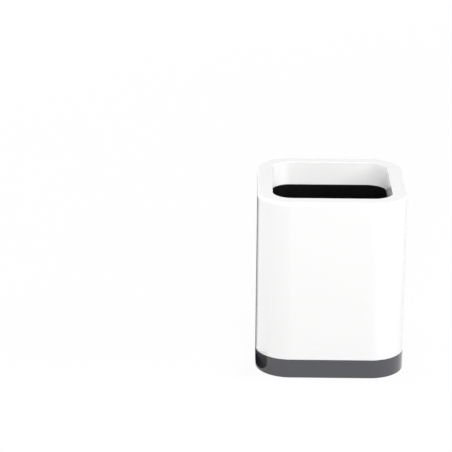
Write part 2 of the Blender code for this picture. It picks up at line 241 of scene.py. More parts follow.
class PenHolderFinish(bpy.types.PropertyGroup):
    """Colours and surface of the mouldings"""

    sleeve_colour: colour("Sleeve", "Of the white plastic", (0.92, 0.92, 0.915))
    # The liner's colour is darker than the plastic itself: it also carries painted shade from deep in the
    # cup
    liner_colour_with_shade: colour("Liner", "Of the black plastic", (0.0025, 0.0025, 0.0025))
    base_colour: colour("Base", "Of the dark grey plastic", (0.056, 0.057, 0.066))
    rubber_colour: colour("Rubber", "Of the feet", (0.02, 0.02, 0.02))
    dust_colour: colour("Dust", "Of the few specks on the surfaces", (0.42, 0.40, 0.37))
    ripple_size: length("Ripple size", "Of the slow unevenness of moulded plastic", 9 * MM)
    scratch_width: length("Scratch width", "Of the finest hairlines", 0.12 * MM)
    speck_size: length("Speck size", "Of a speck of dust", 0.35 * MM)
    rub_reach: length("Rub reach", "How far the rubbing of an edge spreads", 1.2 * MM)
    fine_relief: length("Fine relief", "Height of dust and depth of hairlines", 0.004 * MM)


class PenHolderStage(bpy.types.PropertyGroup):
    """Camera, floor and light"""

    azimuth: angle("Azimuth", "Of the camera, from the front towards the right", 0.80)
    elevation: angle("Elevation", "Of the camera over the table", 19.36)
    roll: angle("Roll", "Of the camera", 0.28)
    distance: length("Distance", "From the camera to the point that it looks at", 1.088)
    aim: FloatVectorProperty(name="Aim", description="The point that the camera looks at", size=3,
                             default=(-59.97 * MM, 0, 76.77 * MM), precision=5, subtype='TRANSLATION')
    lens: level("Lens", "Focal length in millimetres", 150.2)
    floor_colour: colour("Floor", "Of the table, as it throws light back", (0.3, 0.3, 0.3))
    floor_seen: colour("Floor seen", "Of the table, as it is looked at", (0.9, 0.9, 0.9))
    floor_white: share("Floor white", "Share of plain white that is seen in the table", 0.95)
    floor_reach: length("Floor reach", "From the middle of the table to its sides", 3)
    # The black cards paint dark reflections and shade at the holder's left, in place of the table's shade
    # there
    card_gap: length("Card gap", "Between the holder and the black cards at its left", 2 * MM)
    tall_card: length("Tall card", "Height of the card behind the left corner", 0.102)
    low_card: length("Low card", "Height of the card at the left corner", 10.5 * MM)
    shade_card: length("Shade card", "Height of the part of it that casts a shade", 9.5 * MM)
    card_reach: length("Card reach", "How far from the card at the corner it is still reflected", 13 * MM)
    room: level("Room", "Strength of the even light of the room", 0.14)
    lamp_distance: length("Lamp distance", "From each lamp to the holder", 1.8)
    key: level("Key lamp", "Watts of the lamp at the front right", 9.2)
    front: level("Front lamp", "Watts of the lamp over the camera", 21)
    right: level("Right lamp", "Watts of the small lamp at the right", 12.5)
    left: level("Left lamp", "Watts of the large lamp at the left", 14.5)
    back: level("Back lamp", "Watts of the low lamp behind", 14)
    back_left: level("Back left lamp", "Watts of the lamp behind at the left", 12.5)


# Node helpers

def feed(tree, socket, value):
    """Link a socket to an output or to several, or set its value."""
    if isinstance(value, list):
        for output in value:
            tree.links.new(output, socket)
    elif isinstance(value, bpy.types.NodeSocket):
        tree.links.new(value, socket)
    else:
        socket.default_value = value


def feed_in_order(tree, node, values):
    """Feed the first inputs of a node, one after the other."""
    for socket, value in zip(node.inputs, values):
        feed(tree, socket, value)


def add(tree, kind, inputs=None, **settings):
    """Add a node. An input that is given a socket is linked, and any other is set."""
    node = tree.nodes.new(kind)
    for name, value in settings.items():
        setattr(node, name, value)
    for name, value in (inputs or {}).items():
        feed(tree, node.inputs[name], value)
    return node


def shape(tree, kind, inputs, **settings):
    """Add a geometry node and return the geometry that it makes."""
    return add(tree, "GeometryNode" + kind, inputs, **settings).outputs[0]


def math_node(tree, operation, *values, clamp=False):
    """A number worked out from others."""
    node = add(tree, "ShaderNodeMath", operation=operation, use_clamp=clamp)
    feed_in_order(tree, node, values)
    return node.outputs["Value"]


def product(tree, first, *others):
    """Numbers multiplied with each other."""
    for other in others:
        first = math_node(tree, 'MULTIPLY', first, other)
    return first


def vector_node(tree, operation, *values, output="Vector"):
    """A vector, or with another output a number, worked out from vectors."""
    node = add(tree, "ShaderNodeVectorMath", operation=operation)
    feed_in_order(tree, node, values)
    return node.outputs[output]


def combine(tree, x=0, y=0, z=0):
    """A vector from three numbers."""
    return add(tree, "ShaderNodeCombineXYZ", {"X": x, "Y": y, "Z": z}).outputs["Vector"]


def separate(tree, vector):
    """The three numbers of a vector."""
    return add(tree, "ShaderNodeSeparateXYZ", {"Vector": vector}).outputs


def nearest_in_square(tree, point, reach):
    """The point nearest to another in a flat square that reaches so far to each side."""
    far_corner = combine(tree, reach, reach, 0)
    near_corner = vector_node(tree, 'MULTIPLY', far_corner, (-1, -1, 0))
    return vector_node(tree, 'MAXIMUM', vector_node(tree, 'MINIMUM', point, far_corner), near_corner)


def new_group(name, kind, inputs, outputs):
    """Make a node group. A socket is given by its default, or by its type if it has none."""
    tree = bpy.data.node_groups.new(name, kind + "NodeTree")
    for label, default in inputs.items():
        socket_type = SOCKET_TYPES.get(type(default), default)
        socket = tree.interface.new_socket(label, in_out='INPUT', socket_type="NodeSocket" + socket_type)
        if default != socket_type:
            socket.default_value = default
    for label, socket_type in outputs.items():
        tree.interface.new_socket(label, in_out='OUTPUT', socket_type="NodeSocket" + socket_type)
    return tree, tree.nodes.new("NodeGroupInput").outputs


def end_group(tree, result):
    """Link the result of a group to its output, and lay its nodes out from left to right."""
    feed_in_order(tree, tree.nodes.new("NodeGroupOutput"), [result])
    arrange(tree)


def use(tree, group, inputs):
    """Place a group in a tree and return its one output."""
    kind = "ShaderNodeGroup" if tree.type == 'SHADER' else "GeometryNodeGroup"
    return add(tree, kind, inputs, node_tree=group).outputs[0]


def arrange(tree):
    """Put each node in a column to the right of all the nodes that feed it."""
    columns = {node.name: 0 for node in tree.nodes}
    for _ in tree.nodes:
        for link in tree.links:
            after = columns[link.from_node.name] + 1
            columns[link.to_node.name] = max(columns[link.to_node.name], after)
    filled = {}
    for node in tree.nodes:
        column = columns[node.name]
        row = filled.get(column, 0)
        node.location = (column * COLUMN_WIDTH, -row * ROW_HEIGHT)
        filled[column] = row + 1


# Geometry node groups

def capture(tree, geometry, **vectors):
    """Store vectors on the points of a shape, so that they outlast a later change of it."""
    node = tree.nodes.new("GeometryNodeCaptureAttribute")
    for name in vectors:
        node.capture_items.new('VECTOR', name)
    for name, value in {"Geometry": geometry, **vectors}.items():
        feed(tree, node.inputs[name], value)
    return node.outputs


def repeated(tree, geometry, points, **others):
    """A shape at each of some points, as real geometry."""
    placed = shape(tree, "InstanceOnPoints", {"Points": points, "Instance": geometry, **others})
    return shape(tree, "RealizeInstances", {"Geometry": placed})


def square_curve(tree, width):
    """A plain square as a curve."""
    return shape(tree, "CurvePrimitiveQuadrilateral", {"Width": width, "Height": width})


def fillet(tree, curve, steps, radius):
    """A curve with its corners rounded."""
    return shape(tree, "FilletCurve", {
        "Curve": curve, "Count": steps, "Radius": radius, "Limit Radius": True}, mode='POLY')


def rounded_outline_group():
    """A square whose corners are quarter circles."""
    tree, given = new_group("rounded_outline", 'Geometry', OUTLINE_INPUTS, {"Outline": 'Geometry'})
    square = square_curve(tree, given["Width"])
    end_group(tree, fillet(tree, square, given["Corner Steps"], given["Corner Radius"]))
    return tree


def rounded_section_group():
    """A section from an object, with each corner rounded to the radius that it carries."""
    tree, given = new_group("rounded_section", 'Geometry', {"Section": 'Object'}, {"Section": 'Geometry'})
    source = add(tree, "GeometryNodeObjectInfo", {"Object": given["Section"]}).outputs["Geometry"]
    radius = tree.nodes.new("GeometryNodeInputRadius").outputs["Radius"]
    steps = math_node(tree, 'ADD', product(tree, radius, FACETS_PER_METRE), FEWEST_FACETS)
    end_group(tree, fillet(tree, source, steps, radius))
    return tree


def swept_moulding_group(outline_group):
    """A section carried round the outline. Every inset keeps true, parallel corners."""
    tree, given = new_group("swept_moulding", 'Geometry', {
        "Section": 'Geometry', **OUTLINE_INPUTS, "Close Ends": False}, {"Mesh": 'Geometry'})
    outline = use(tree, outline_group, {name: given[name] for name in OUTLINE_INPUTS})
    position = tree.nodes.new("GeometryNodeInputPosition").outputs["Position"]
    reach = math_node(tree, 'SUBTRACT', product(tree, given["Width"], 0.5), given["Corner Radius"])
    core = nearest_in_square(tree, position, reach)
    outward = vector_node(tree, 'NORMALIZE', vector_node(tree, 'SUBTRACT', position, core))
    path = capture(tree, outline, Core=core, Outward=outward)
    profile = capture(tree, given["Section"], Corner=position)

    def place(corner):
        """The point at a corner's inset and height, for any point of the outline."""
        parts = separate(tree, corner)
        out = math_node(tree, 'SUBTRACT', given["Corner Radius"], parts["X"])
        away = vector_node(tree, 'MULTIPLY', path["Outward"], combine(tree, out, out, out))
        flat = vector_node(tree, 'ADD', path["Core"], away)
        return vector_node(tree, 'ADD', flat, combine(tree, 0, 0, parts["Y"]))

    skin = shape(tree, "CurveToMesh", {"Curve": path["Geometry"], "Profile Curve": profile["Geometry"]})
    skin = shape(tree, "SetPosition", {"Geometry": skin, "Position": place(profile["Corner"])})
    skin = shape(tree, "FlipFaces", {"Mesh": skin})
    lids = []
    for end in (0, 1):
        sample = add(tree, "GeometryNodeSampleCurve", {"Curves": given["Section"], "Factor": end},
                     mode='FACTOR', use_all_curves=False)
        corner = sample.outputs["Position"]
        ring = shape(tree, "SetPosition", {"Geometry": path["Geometry"], "Position": place(corner)})
        lid = shape(tree, "FillCurve", {"Curve": ring}, mode='NGONS')
        flat = vector_node(tree, 'MULTIPLY', position, (1, 1, 0))
        rise = combine(tree, 0, 0, separate(tree, corner)["Y"])
        lid = shape(tree, "SetPosition", {
            "Geometry": lid, "Position": vector_node(tree, 'ADD', flat, rise)})
        if end == 0:
            lid = shape(tree, "FlipFaces", {"Mesh": lid})
        lids.append(lid)
    both = shape(tree, "JoinGeometry", {"Geometry": lids})
    needed = shape(tree, "Switch", {"Switch": given["Close Ends"], "True": both}, input_type='GEOMETRY')
    joined = shape(tree, "JoinGeometry", {"Geometry": [needed, skin]})
    end_group(tree, shape(tree, "MergeByDistance", {"Geometry": joined, "Distance": WELD}))
    return tree


def side_plate_group():
    """A plate of an even thickness that stands across the middle of the front side."""
    tree, given = new_group("side_plate", 'Geometry', {
        "Outline": 'Geometry', "Thickness": 0.001, "Width": 0.085}, {"Mesh": 'Geometry'})
    position = tree.nodes.new("GeometryNodeInputPosition").outputs["Position"]
    half = product(tree, given["Thickness"], 0.5)
    line = shape(tree, "CurvePrimitiveLine", {
        "Start": combine(tree, product(tree, half, -1)), "End": combine(tree, half)})
    path = capture(tree, line, Along=position)
    profile = capture(tree, given["Outline"], Corner=position)
    slab = shape(tree, "CurveToMesh", {
        "Curve": path["Geometry"], "Profile Curve": profile["Geometry"], "Fill Caps": True})
    corner = separate(tree, profile["Corner"])
    inwards = math_node(tree, 'SUBTRACT', corner["X"], product(tree, given["Width"], 0.5))
    spot = combine(tree, separate(tree, path["Along"])["X"], inwards, corner["Y"])
    end_group(tree, shape(tree, "SetPosition", {"Geometry": slab, "Position": spot}))
    return tree


def pair_group():
    """Two of a shape, to the left and the right of where it stands."""
    tree, given = new_group("pair", 'Geometry', {
        "Geometry": 'Geometry', "Spacing": 0.03}, {"Geometry": 'Geometry'})
    half = product(tree, given["Spacing"], 0.5)
    points = shape(tree, "MeshLine", {
        "Count": 2, "Start Location": combine(tree, product(tree, half, -1)),
        "Offset": combine(tree, half)}, mode='END_POINTS')
    end_group(tree, repeated(tree, given["Geometry"], points))
    return tree


def each_side_group():
    """The shape at the front side repeated at all four sides."""
    tree, given = new_group("each_side", 'Geometry', {"Geometry": 'Geometry'}, {"Geometry": 'Geometry'})
    points = shape(tree, "Points", {"Count": 4})
    number = tree.nodes.new("GeometryNodeInputIndex").outputs["Index"]
    turn = combine(tree, 0, 0, product(tree, number, QUARTER_TURN))
    rotation = add(tree, "FunctionNodeEulerToRotation", {"Euler": turn}).outputs["Rotation"]
    end_group(tree, repeated(tree, given["Geometry"], points, Rotation=rotation))
    return tree


def four_corners_group():
    """A shape repeated at the corners of a square."""
    tree, given = new_group("four_corners", 'Geometry', {
        "Geometry": 'Geometry', "Spacing": 0.056}, {"Geometry": 'Geometry'})
    end_group(tree, repeated(tree, given["Geometry"], square_curve(tree, given["Spacing"])))
    return tree


def disc_group():
    """An upright cylinder from one height to another."""
    tree, given = new_group("disc", 'Geometry', {
        "Radius": 0.005, "Bottom": 0.0, "Top": 0.001}, {"Mesh": 'Geometry'})
    depth = math_node(tree, 'SUBTRACT', given["Top"], given["Bottom"])
    middle = product(tree, math_node(tree, 'ADD', given["Top"], given["Bottom"]), 0.5)
    made = shape(tree, "MeshCylinder", {"Vertices": DISC_SIDES, "Radius": given["Radius"], "Depth": depth})
    end_group(tree, shape(tree, "Transform", {
        "Geometry": made, "Translation": combine(tree, 0, 0, middle)}))
    return tree


def moulded_finish_group():
    """Smooth shading with crisp corners, as one real mesh of one material."""
    tree, given = new_group("moulded_finish", 'Geometry', {
        "Geometry": 'Geometry', "Crisp Angle": math.radians(32), "Material": 'Material',
    }, {"Geometry": 'Geometry'})
    real = shape(tree, "RealizeInstances", {"Geometry": given["Geometry"]})
    smooth = shape(tree, "SetShadeSmooth", {"Geometry": real, "Shade Smooth": True}, domain='FACE')
    bend = tree.nodes.new("GeometryNodeInputMeshEdgeAngle").outputs["Unsigned Angle"]
    sharp = math_node(tree, 'GREATER_THAN', bend, given["Crisp Angle"])
    crisp = shape(tree, "SetShadeSmooth", {
        "Geometry": smooth, "Shade Smooth": False, "Selection": sharp}, domain='EDGE')
    end_group(tree, shape(tree, "SetMaterial", {"Geometry": crisp, "Material": given["Material"]}))
    return tree


class GeometryGroups:
    """The node groups that the piece trees share."""

    def __init__(self):
        self.outline = rounded_outline_group()
        self.section = rounded_section_group()
        self.swept = swept_moulding_group(self.outline)
        self.plate = side_plate_group()
        self.pair = pair_group()
        self.each_side = each_side_group()
        self.four_corners = four_corners_group()
        self.disc = disc_group()
        self.finish = moulded_finish_group()


class PieceTree:
    """The node tree of one piece, put together from the shared groups.

    Where a size is asked for by name, it is the name of one of the tree's inputs.
    """

    def __init__(self, name, groups, inputs):
        self.groups = groups
        self.tree, self.given = new_group(
            name, 'Geometry', {**inputs, "Material": 'Material'}, {"Geometry": 'Geometry'})

    def section(self, name):
        """The rounded curve of one of the piece's sections or outlines."""
        return use(self.tree, self.groups.section, {"Section": self.given[name]})

    def swept(self, close_ends=False):
        """The piece's own section carried round its outline."""
        sizes = {name: self.given[name] for name in OUTLINE_INPUTS}
        return use(self.tree, self.groups.swept, {
            "Section": self.section("Section"), "Close Ends": close_ends, **sizes})

    def plate(self, name, thickness):
        """A plate at the front side from one of the piece's outlines."""
        return use(self.tree, self.groups.plate, {
            "Outline": self.section(name), "Thickness": self.given[thickness],
            "Width": self.given["Width"]})

    def pair(self, geometry, spacing):
        """Two of a shape, side by side."""
        return use(self.tree, self.groups.pair, {
            "Geometry": geometry, "Spacing": self.given[spacing]})

    def each_side(self, geometry):
        """A shape of the front side, at all four sides."""
        return use(self.tree, self.groups.each_side, {"Geometry": geometry})

    def four_corners(self, geometry, spacing):
        """A shape at the corners of a square."""
        return use(self.tree, self.groups.four_corners, {
            "Geometry": geometry, "Spacing": self.given[spacing]})

    def disc(self, radius, bottom, top):
        """An upright cylinder."""
        return use(self.tree, self.groups.disc, {"Radius": radius, "Bottom": bottom, "Top": top})

    def boolean(self, operation, inputs):
        """Shapes joined, or cut from another."""
        return shape(self.tree, "MeshBoolean", inputs, operation=operation, solver='EXACT')

    def finish(self, body, joined=None, cut=None):
        """Join and cut shapes, shade the result, give it its material and end the tree."""
        if joined:
            body = self.boolean('UNION', {"Mesh 2": [body, *joined]})
        if cut:
            body = self.boolean('DIFFERENCE', {"Mesh 1": body, "Mesh 2": cut})
        end_group(self.tree, use(self.tree, self.groups.finish, {
            "Geometry": body, "Material": self.given["Material"]}))
        return self.tree


def sleeve_tree(groups):
    """The sleeve: a swept section, webs under the rim and a pocket for each snap nib."""
    made = PieceTree("sleeve_moulding", groups, {
        "Section": 'Object', "Web": 'Object', "Pocket": 'Object', **OUTLINE_INPUTS,
        "Web Thickness": 0.0012, "Web Spacing": 0.03, "Pocket Width": 0.01})
    webs = made.each_side(made.pair(made.plate("Web", "Web Thickness"), "Web Spacing"))
    pockets = made.each_side(made.plate("Pocket", "Pocket Width"))
    return made.finish(made.swept(), [webs], [pockets])


def liner_tree(groups):
    """The liner: an open section swept round, closed across the floor, with its gate's mark."""
    made = PieceTree("liner_moulding", groups, {
        "Section": 'Object', **OUTLINE_INPUTS,
        "Gate Radius": 0.002, "Gate Bottom": 0.007, "Gate Top": 0.008})
    given = made.given
    gate = made.disc(given["Gate Radius"], given["Gate Bottom"], given["Gate Top"])
    return made.finish(made.swept(close_ends=True), cut=[gate])


def base_tree(groups):
    """The base: a swept tray with ribs, snap tongues, foot recesses and pin marks."""
    made = PieceTree("base_moulding", groups, {
        "Section": 'Object', "Rib": 'Object', "Nib": 'Object', "Slot": 'Object', **OUTLINE_INPUTS,
        "Rib Thickness": 0.0015, "Rib Spacing": 0.032, "Nib Width": 0.008,
        "Slot Width": 0.0012, "Slot Spacing": 0.0112, "Foot Spacing": 0.056,
        "Recess Radius": 0.0053, "Recess Bottom": 0.0, "Recess Top": 0.0018,
        "Boss Wall": 0.0017, "Floor Middle": 0.0017,
        "Pin Radius": 0.002, "Pin Top": 0.0007, "Pin Spacing": 0.026})
    tree, given = made.tree, made.given
    ribs = made.pair(made.plate("Rib", "Rib Thickness"), "Rib Spacing")
    crossing = shape(tree, "Transform", {"Geometry": ribs, "Rotation": Euler((0, 0, QUARTER_TURN))})
    nibs = made.each_side(made.plate("Nib", "Nib Width"))
    slots = made.each_side(made.pair(made.plate("Slot", "Slot Width"), "Slot Spacing"))
    boss_radius = math_node(tree, 'ADD', given["Recess Radius"], given["Boss Wall"])
    boss_top = math_node(tree, 'ADD', given["Recess Top"], given["Boss Wall"])
    boss = made.disc(boss_radius, given["Floor Middle"], boss_top)
    recess = made.disc(given["Recess Radius"], given["Recess Bottom"], given["Recess Top"])
    pin = made.disc(given["Pin Radius"], given["Recess Bottom"], given["Pin Top"])
    bosses = made.four_corners(boss, "Foot Spacing")
    recesses = made.four_corners(recess, "Foot Spacing")
    pins = made.four_corners(pin, "Pin Spacing")
    return made.finish(made.swept(close_ends=True), [ribs, crossing, nibs, bosses],
                       [slots, recesses, pins])


def feet_tree(groups):
    """The feet: a round section turned about its middle and repeated at four corners."""
    made = PieceTree("rubber_feet", groups, {
        "Section": 'Object', **OUTLINE_INPUTS, "Foot Spacing": 0.056})
    return made.finish(made.four_corners(made.swept(), "Foot Spacing"))


# Sections of the mouldings: corners of (inset, height, rounding), up the outer side first

def rectangle(near, far, low, high):
    """A section with four sharp corners, from one inset and height to another."""
    return [(near, low, 0), (far, low, 0), (far, high, 0), (near, high, 0)]


def mouth_foot(outline, sleeve):
    """Inset of the skirt's visible foot, where the liner takes over."""
    return outline.side_lean + sleeve.rim_width + sleeve.skirt_lean


def lean_at(outline, height):
    """How far the side leans in at a height above the base's top."""
    return outline.side_lean * (height - outline.base_top) / (outline.height - outline.base_top)


def spigot_face(sleeve, base):
    """Inset of the spigot's outer face at its foot."""
    return sleeve.wall + base.spigot_gap


def nib_face(outline, sleeve, base):
    """Inset of the spigot's outer face where the nibs stand."""
    return spigot_face(sleeve, base) + lean_at(outline, outline.base_top + base.nib_rise)


def floor_end(outline):
    """Inset at which a swept floor gives way to the flat sheet across its middle."""
    return outline.corner_radius * FLOOR_END


def sleeve_section(outline, sleeve):
    """The outer wall, the rim, and the skirt with the tongue at its foot."""
    bottom = outline.base_top + outline.seam
    top = outline.height
    mouth = outline.side_lean + sleeve.rim_width
    foot = mouth_foot(outline, sleeve)
    back = foot - sleeve.skirt_thickness
    skirt_bottom = top - sleeve.skirt_depth
    step = skirt_bottom + sleeve.tongue_height
    tongue = foot - sleeve.tongue_thickness
    ceiling = top - sleeve.rim_thickness
    edge = outline.edge_round
    return [
        (0, bottom, edge),
        (outline.side_lean, top, sleeve.rim_outer_round),
        (mouth, top, sleeve.rim_inner_round),
        (foot, skirt_bottom, edge),
        (tongue, skirt_bottom, edge),
        (tongue, step, 0),
        (back, step, edge),
        (back - sleeve.skirt_lean, ceiling, sleeve.cavity_round),
        (outline.side_lean + sleeve.wall, ceiling, sleeve.cavity_round),
        (sleeve.wall, bottom, edge),
    ]


def web_outline(outline, sleeve):
    """A web under the rim: deep at the outer wall and clear of the liner's lip."""
    top = outline.height - sleeve.rim_thickness / 2
    wall = outline.side_lean + sleeve.wall / 2
    skirt = mouth_foot(outline, sleeve) - sleeve.skirt_thickness / 2
    foot = outline.height - sleeve.skirt_depth + sleeve.tongue_height + sleeve.web_clearance
    return [(wall, top, 0), (wall, foot - sleeve.web_slope, 0), (skirt, foot, 0), (skirt, top, 0)]


def pocket_outline(outline, sleeve, base):
    """The hollow in the sleeve's wall that takes a snap nib."""
    tip = nib_face(outline, sleeve, base) - base.nib_reach - base.spigot_gap
    low = outline.base_top + base.nib_rise - base.spigot_gap
    high = outline.base_top + base.nib_rise + base.nib_height + base.spigot_gap
    return rectangle(tip, sleeve.wall + OVERRUN, low, high)


def liner_section(outline, sleeve, liner):
    """The cup's wall, from the underside round the outside and the lip to the floor."""
    skirt_foot = mouth_foot(outline, sleeve)
    foot = skirt_foot + liner.taper
    shoulder = outline.height - sleeve.skirt_depth - liner.shoulder_gap
    front = liner.lip_inset + liner.lip_thickness
    edge = outline.edge_round
    end = floor_end(outline)
    return [
        (end, liner.bottom, 0),
        (foot - liner.wall, liner.bottom, liner.floor_round + liner.wall),
        (liner.lip_inset, liner.lip_top, edge),
        (front, liner.lip_top, edge),
        (front, shoulder, 0),
        (skirt_foot, shoulder, edge),
        (foot, liner.bottom + liner.floor, liner.floor_round),
        (end, liner.bottom + liner.floor, 0),
    ]


def base_section(outline, sleeve, base):
    """The visible band, the ledge under the sleeve, the spigot and the floor."""
    face = spigot_face(sleeve, base)
    back = face + base.spigot_thickness
    floor_top = base.bottom + base.floor
    edge = outline.edge_round
    end = floor_end(outline)
    return [
        (end, base.bottom, 0),
        (0, base.bottom, base.foot_round),
        (0, outline.base_top, edge),
        (face, outline.base_top, edge),
        (face + lean_at(outline, base.spigot_top), base.spigot_top, base.lead_in),
        (back, base.spigot_top, edge),
        (back + base.lean, floor_top, base.floor_round),
        (end, floor_top, 0),
    ]


def rib_outline(outline, sleeve, base, liner):
    """A rib from wall to wall: low under the liner, and raised at both ends to centre it."""
    wall = spigot_face(sleeve, base) + base.spigot_thickness / 2
    locator = mouth_foot(outline, sleeve) + liner.taper - liner.wall - base.spigot_gap
    low = base.bottom + base.floor / 2
    carry = liner.bottom - base.spigot_gap
    top = carry + base.locator_rise
    far_wall = outline.width - wall
    far_locator = outline.width - locator
    return [(wall, low, 0), (far_wall, low, 0), (far_wall, top, 0), (far_locator, top, 0),
            (far_locator, carry, 0), (locator, carry, 0), (locator, top, 0), (wall, top, 0)]


def nib_outline(outline, sleeve, base):
    """A snap nib: flat below to hold the sleeve down, sloping above to let it on."""
    face = nib_face(outline, sleeve, base)
    low = outline.base_top + base.nib_rise
    tip = face - base.nib_reach
    root = face + base.spigot_thickness / 2
    high = low + base.nib_height
    return [(tip, low, 0), (root, low, 0), (root, high, 0), (face, high, 0), (tip, low + base.nib_land, 0)]


def slot_outline(outline, sleeve, base):
    """One of the two cuts that free a snap tongue."""
    near = spigot_face(sleeve, base) - OVERRUN
    far = near + base.spigot_thickness + 2 * OVERRUN
    return rectangle(near, far, outline.base_top + base.snap_root, base.spigot_top + OVERRUN)


def foot_section(feet):
    """Half of a turned foot: over the top, down the side and under the dished sole."""
    middle = feet.radius
    dish = middle - feet.dish_radius
    return [
        (middle, feet.dish_depth, 0),
        (dish, feet.dish_depth, feet.dish_round),
        (dish - feet.dish_depth, 0, feet.dish_round),
        (0, 0, feet.edge_round),
        (0, feet.top, feet.edge_round),
        (middle, feet.top, 0),
    ]


# Shader node groups

def object_place(tree):
    """Where a point lies in the object's own measure."""
    return tree.nodes.new("ShaderNodeTexCoord").outputs["Object"]


def noise(tree, place, scale, detail, roughness=0.5, distortion=0):
    """Soft noise round a middle value of a half."""
    return add(tree, "ShaderNodeTexNoise", {
        "Vector": place, "Scale": scale, "Detail": detail, "Roughness": roughness,
        "Distortion": distortion}).outputs["Fac"]


def ramp(tree, value, low, high, start=0, **settings):
    """A number that grows from its start to 1 while a value goes from low to high."""
    return add(tree, "ShaderNodeMapRange", {
        "Value": value, "From Min": low, "From Max": high, "To Min": start}, **settings).outputs["Result"]


def ripple_group():
    """The slow unevenness that a polished moulding keeps as it cools."""
    tree, given = new_group("moulded_ripple", 'Shader', {"Ripple Size": 0.009}, {"Height": 'Float'})
    scale = math_node(tree, 'DIVIDE', 1, given["Ripple Size"])
    waves = noise(tree, object_place(tree), scale, detail=1.5, roughness=0.35, distortion=0.3)
    end_group(tree, math_node(tree, 'SUBTRACT', waves, 0.5))
    return tree


def hairline_group():
    """Fine wiping scratches in three directions, in patches."""
    tree, given = new_group("wiping_hairlines", 'Shader', {
        "Scratch Width": 0.00012, "Amount": 0.5}, {"Mask": 'Float'})
    # A line is drawn where a noise, stretched along it, passes its middle value. Each line has
    # its own turn and stretch, and its width is a share of the noise's measure.
    turns_and_stretches = (((0.3, 0.2, 0.1), 22), ((0.1, 1.2, 0.9), 30), ((1.1, 0.5, 2.2), 18))
    width_share = 0.03
    sharpness = 60
    place = object_place(tree)
    across = math_node(tree, 'DIVIDE', width_share, given["Scratch Width"])
    lines = None
    for turn, stretch in turns_and_stretches:
        turned = add(tree, "ShaderNodeMapping", {
            "Vector": place, "Rotation": turn, "Scale": (stretch, 1, 1)}).outputs["Vector"]
        scaled = vector_node(tree, 'MULTIPLY', turned, combine(tree, 1, across, across))
        waves = noise(tree, scaled, scale=1, detail=0)
        off = math_node(tree, 'ABSOLUTE', math_node(tree, 'SUBTRACT', waves, 0.5))
        line = math_node(tree, 'SUBTRACT', 1, product(tree, off, sharpness), clamp=True)
        lines = line if lines is None else math_node(tree, 'MAXIMUM', lines, line)
    patches = ramp(tree, noise(tree, place, scale=45, detail=2), low=0.48, high=0.66)
    end_group(tree, product(tree, lines, patches, given["Amount"]))
    return tree


def handling_group():
    """The soft film that fingers and a cloth leave on gloss."""
    tree, given = new_group("handling_film", 'Shader', {
        "Patch Size": 0.02, "Amount": 0.5}, {"Mask": 'Float'})
    scale = math_node(tree, 'DIVIDE', 1, given["Patch Size"])
    patches = noise(tree, object_place(tree), scale, detail=4, roughness=0.62, distortion=0.8)
    soft = ramp(tree, patches, low=0.42, high=0.75, interpolation_type='SMOOTHSTEP')
    end_group(tree, product(tree, soft, given["Amount"]))
    return tree


def dust_group():
    """Single specks of dust, nearly all of them on what faces up."""
    tree, given = new_group("settled_dust", 'Shader', {
        "Speck Size": 0.00035, "Amount": 0.1}, {"Mask": 'Float'})
    # Shares of a cell's width: what the speck size stands for, and a speck's drawn radius
    size_share = 0.16
    radius_share = 0.11
    coordinates = tree.nodes.new("ShaderNodeTexCoord").outputs
    scale = math_node(tree, 'DIVIDE', size_share, given["Speck Size"])
    cells = add(tree, "ShaderNodeTexVoronoi", {
        "Vector": coordinates["Object"], "Scale": scale, "Randomness": 1}).outputs
    speck = math_node(tree, 'LESS_THAN', cells["Distance"], radius_share)
    chosen = add(tree, "ShaderNodeSeparateColor", {"Color": cells["Color"]}).outputs["Red"]
    kept = math_node(tree, 'LESS_THAN', chosen, given["Amount"])
    facing_up = separate(tree, coordinates["Normal"])["Z"]
    settled = ramp(tree, facing_up, low=-0.1, high=0.9, start=0.12)
    end_group(tree, product(tree, speck, kept, settled))
    return tree


def edge_rub_group():
    """Broken rubbing along an edge that runs round the holder at one height."""
    tree, given = new_group("edge_rub", 'Shader', {
        "Edge Height": 0.1, "Reach": 0.001, "Amount": 0.5}, {"Mask": 'Float'})
    place = object_place(tree)
    height = separate(tree, place)["Z"]
    off = math_node(tree, 'ABSOLUTE', math_node(tree, 'SUBTRACT', height, given["Edge Height"]))
    near = math_node(tree, 'SUBTRACT', 1, math_node(tree, 'DIVIDE', off, given["Reach"]), clamp=True)
    broken = noise(tree, place, scale=420, detail=3, roughness=0.6)
    worn = ramp(tree, broken, low=0.45, high=0.62)
    end_group(tree, product(tree, near, worn, given["Amount"]))
    return tree


def flow_group():
    """Faint clouding of the colour where molten plastic has flowed."""
    tree, given = new_group("flow_clouding", 'Shader', {
        "Colour": (0.5, 0.5, 0.5, 1), "Depth": 0.02}, {"Colour": 'Color'})
    clouds_per_metre = (30, 30, 9)
    drawn = add(tree, "ShaderNodeMapping", {"Vector": object_place(tree), "Scale": clouds_per_metre})
    clouds = noise(tree, drawn.outputs["Vector"], scale=1, detail=3, distortion=0.6)
    swing = product(tree, math_node(tree, 'SUBTRACT', clouds, 0.5), given["Depth"])
    value = math_node(tree, 'ADD', 1, swing)
    shaded = add(tree, "ShaderNodeHueSaturation", {"Color": given["Colour"], "Value": value})
    end_group(tree, shaded.outputs["Color"])
    return tree


def mouth_group(outline, sleeve):
    """1 on the walls of the mouth, and 0 from the flat rim outwards."""
    tree, given = new_group("inside_mouth", 'Shader', {
        "Reach": outline.width / 2 - outline.corner_radius,
        "Mouth Radius": outline.corner_radius - outline.side_lean - sleeve.rim_width,
        "Turn": sleeve.rim_inner_round}, {"Mask": 'Float'})
    flat = vector_node(tree, 'MULTIPLY', object_place(tree), (1, 1, 0))
    core = nearest_in_square(tree, flat, given["Reach"])
    away = vector_node(tree, 'DISTANCE', flat, core, output="Value")
    past = math_node(tree, 'SUBTRACT', away, given["Mouth Radius"])
    turned = math_node(tree, 'DIVIDE', past, given["Turn"])
    end_group(tree, math_node(tree, 'SUBTRACT', 1, turned, clamp=True))
    return tree


